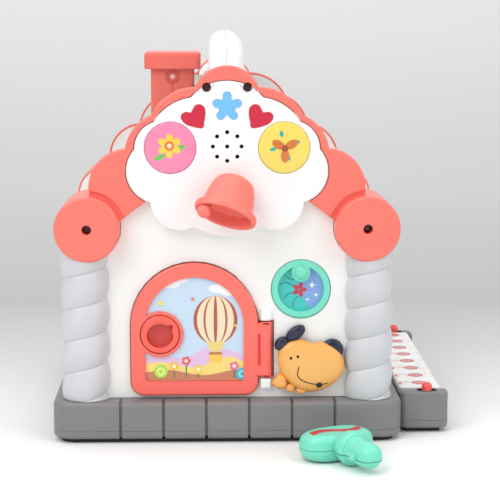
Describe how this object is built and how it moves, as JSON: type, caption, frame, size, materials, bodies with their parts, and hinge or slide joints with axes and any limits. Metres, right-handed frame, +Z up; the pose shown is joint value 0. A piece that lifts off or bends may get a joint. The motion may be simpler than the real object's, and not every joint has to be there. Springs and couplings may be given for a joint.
{
  "type": "shape sorter activity house",
  "caption": "Toy house with twisted posts, scalloped roof, locked door, push buttons, dial, bell, keyboard wing and sorting holes.",
  "frame": {"origin": "middle of the plinth's underside, on the floor", "axes": "+Z up, -Y towards the front door, +X towards the keyboard wing"},
  "size_m": [0.3002, 0.3742, 0.3041],
  "materials": {
    "coral": "satin moulded plastic",
    "coral_clear": "glossy tinted plastic",
    "grey": "satin moulded plastic",
    "pale_grey": "satin moulded plastic",
    "white": "satin moulded plastic",
    "mint": "glossy moulded plastic",
    "navy": "glossy moulded plastic",
    "orange": "satin moulded plastic",
    "pink": "glossy printed plastic",
    "yellow": "glossy printed plastic",
    "blue_lens": "clear tinted plastic",
    "crimson_lens": "clear tinted plastic",
    "picture": "printed plastic sheet",
    "black": "black moulded plastic",
    "circuit": "green laminate",
    "steel": "bright steel wire",
    "screw_steel": "black steel"
  },
  "bodies": {
    "house": {"base_upper": "grey", "base_cover": "grey", "battery_door": "grey", "wing_housing": "grey", "wing_cover": "grey", "key_axle": "steel", "pillar_front_left": "pale_grey", "pillar_front_right": "pale_grey", "pillar_rear_left": "pale_grey", "pillar_rear_right": "pale_grey", "front_wall": "white", "rear_wall": "white", "side_wall_left": "white", "side_wall_right": "white", "sorting_panel": "mint", "roof_left": "white", "roof_right": "white", "front_gable": "coral", "rear_gable": "coral", "handle_left": "white", "handle_right": "white", "cloud_panel": "white", "star_lens": "blue_lens", "heart_left": "crimson_lens", "heart_right": "crimson_lens", "speaker": "black", "circuit_board": "circuit", "roll_screw_left": "screw_steel", "roll_screw_right": "screw_steel", "top_screw_left": "screw_steel", "top_screw_right": "screw_steel", "hinge_pin": "steel", "dial_keeper": "white", "chimney_body": "coral_clear", "chimney_cap": "coral", "chimney_lamp": "coral_clear"},
    "door_leaf": {"door": "coral", "door_picture": "picture"},
    "lock": {"lock_rotor": "coral"},
    "dial": {"dial_ring": "mint", "dial_picture": "picture"},
    "swing_bell": {"bell": "coral", "bell_clapper": "coral"},
    "left_push_button": {"pink_button": "pink"},
    "right_push_button": {"yellow_button": "yellow"},
    "dog_button": {"dog_face": "orange", "dog_ears": "navy"},
    "front_switch": {"switch_knob_front": "coral_clear"},
    "rear_switch": {"switch_knob_rear": "coral_clear"},
    "loose_key": {"key_top": "mint", "key_bottom": "mint"},
    "key_1": {"piano_key_1": "white"},
    "key_2": {"piano_key_2": "white"},
    "key_3": {"piano_key_3": "white"},
    "key_4": {"piano_key_4": "white"},
    "key_5": {"piano_key_5": "white"},
    "key_6": {"piano_key_6": "white"},
    "key_7": {"piano_key_7": "white"},
    "key_8": {"piano_key_8": "white"}
  },
  "joints": [
    {"name": "door_hinge", "type": "hinge", "parent": "house", "child": "door_leaf", "pos_m": [0.0288, -0.126, 0.0654], "axis": [0, 0, 1], "range_deg": [0, 84]},
    {"name": "lock_turn", "type": "hinge", "parent": "door_leaf", "child": "lock", "pos_m": [-0.0505, -0.1315, 0.0776], "axis": [0, -1, 0], "range_deg": [0, 90]},
    {"name": "dial_spin", "type": "hinge", "parent": "house", "child": "dial", "pos_m": [0.055, -0.1272, 0.1108], "axis": [0, -1, 0], "continuous": true},
    {"name": "bell_swing", "type": "hinge", "parent": "house", "child": "swing_bell", "pos_m": [0.0076, -0.1394, 0.1912], "axis": [0, -1, 0], "range_deg": [-25, 55]},
    {"name": "left_button_press", "type": "slide", "parent": "house", "child": "left_push_button", "axis": [0, 1, 0], "range_m": [0, 0.0012], "stiffness_N_per_m": 800, "springref_m": -0.001},
    {"name": "right_button_press", "type": "slide", "parent": "house", "child": "right_push_button", "axis": [0, 1, 0], "range_m": [0, 0.0012], "stiffness_N_per_m": 800, "springref_m": -0.001},
    {"name": "dog_press", "type": "slide", "parent": "house", "child": "dog_button", "axis": [0, 1, 0], "range_m": [0, 0.0011], "stiffness_N_per_m": 800, "springref_m": -0.001},
    {"name": "front_switch_slide", "type": "slide", "parent": "house", "child": "front_switch", "axis": [1, 0, 0], "range_m": [-0.003, 0.003]},
    {"name": "rear_switch_slide", "type": "slide", "parent": "house", "child": "rear_switch", "axis": [1, 0, 0], "range_m": [-0.003, 0.003]},
    {"name": "key_lift", "type": "slide", "parent": "house", "child": "loose_key", "axis": [0, 0, 1], "range_m": [0, 0.15]},
    {"name": "key_1_press", "type": "hinge", "parent": "house", "child": "key_1", "pos_m": [0.1372, -0.0905, 0.0243], "axis": [0, 1, 0], "range_deg": [0, 4], "stiffness_Nm_per_rad": 0.05, "springref_deg": -5.73},
    {"name": "key_2_press", "type": "hinge", "parent": "house", "child": "key_2", "pos_m": [0.1372, -0.0645, 0.0243], "axis": [0, 1, 0], "range_deg": [0, 4], "stiffness_Nm_per_rad": 0.05, "springref_deg": -5.73},
    {"name": "key_3_press", "type": "hinge", "parent": "house", "child": "key_3", "pos_m": [0.1372, -0.0385, 0.0243], "axis": [0, 1, 0], "range_deg": [0, 4], "stiffness_Nm_per_rad": 0.05, "springref_deg": -5.73},
    {"name": "key_4_press", "type": "hinge", "parent": "house", "child": "key_4", "pos_m": [0.1372, -0.0125, 0.0243], "axis": [0, 1, 0], "range_deg": [0, 4], "stiffness_Nm_per_rad": 0.05, "springref_deg": -5.73},
    {"name": "key_5_press", "type": "hinge", "parent": "house", "child": "key_5", "pos_m": [0.1372, 0.0135, 0.0243], "axis": [0, 1, 0], "range_deg": [0, 4], "stiffness_Nm_per_rad": 0.05, "springref_deg": -5.73},
    {"name": "key_6_press", "type": "hinge", "parent": "house", "child": "key_6", "pos_m": [0.1372, 0.0395, 0.0243], "axis": [0, 1, 0], "range_deg": [0, 4], "stiffness_Nm_per_rad": 0.05, "springref_deg": -5.73},
    {"name": "key_7_press", "type": "hinge", "parent": "house", "child": "key_7", "pos_m": [0.1372, 0.0655, 0.0243], "axis": [0, 1, 0], "range_deg": [0, 4], "stiffness_Nm_per_rad": 0.05, "springref_deg": -5.73},
    {"name": "key_8_press", "type": "hinge", "parent": "house", "child": "key_8", "pos_m": [0.1372, 0.0915, 0.0243], "axis": [0, 1, 0], "range_deg": [0, 4], "stiffness_Nm_per_rad": 0.05, "springref_deg": -5.73}
  ]
}
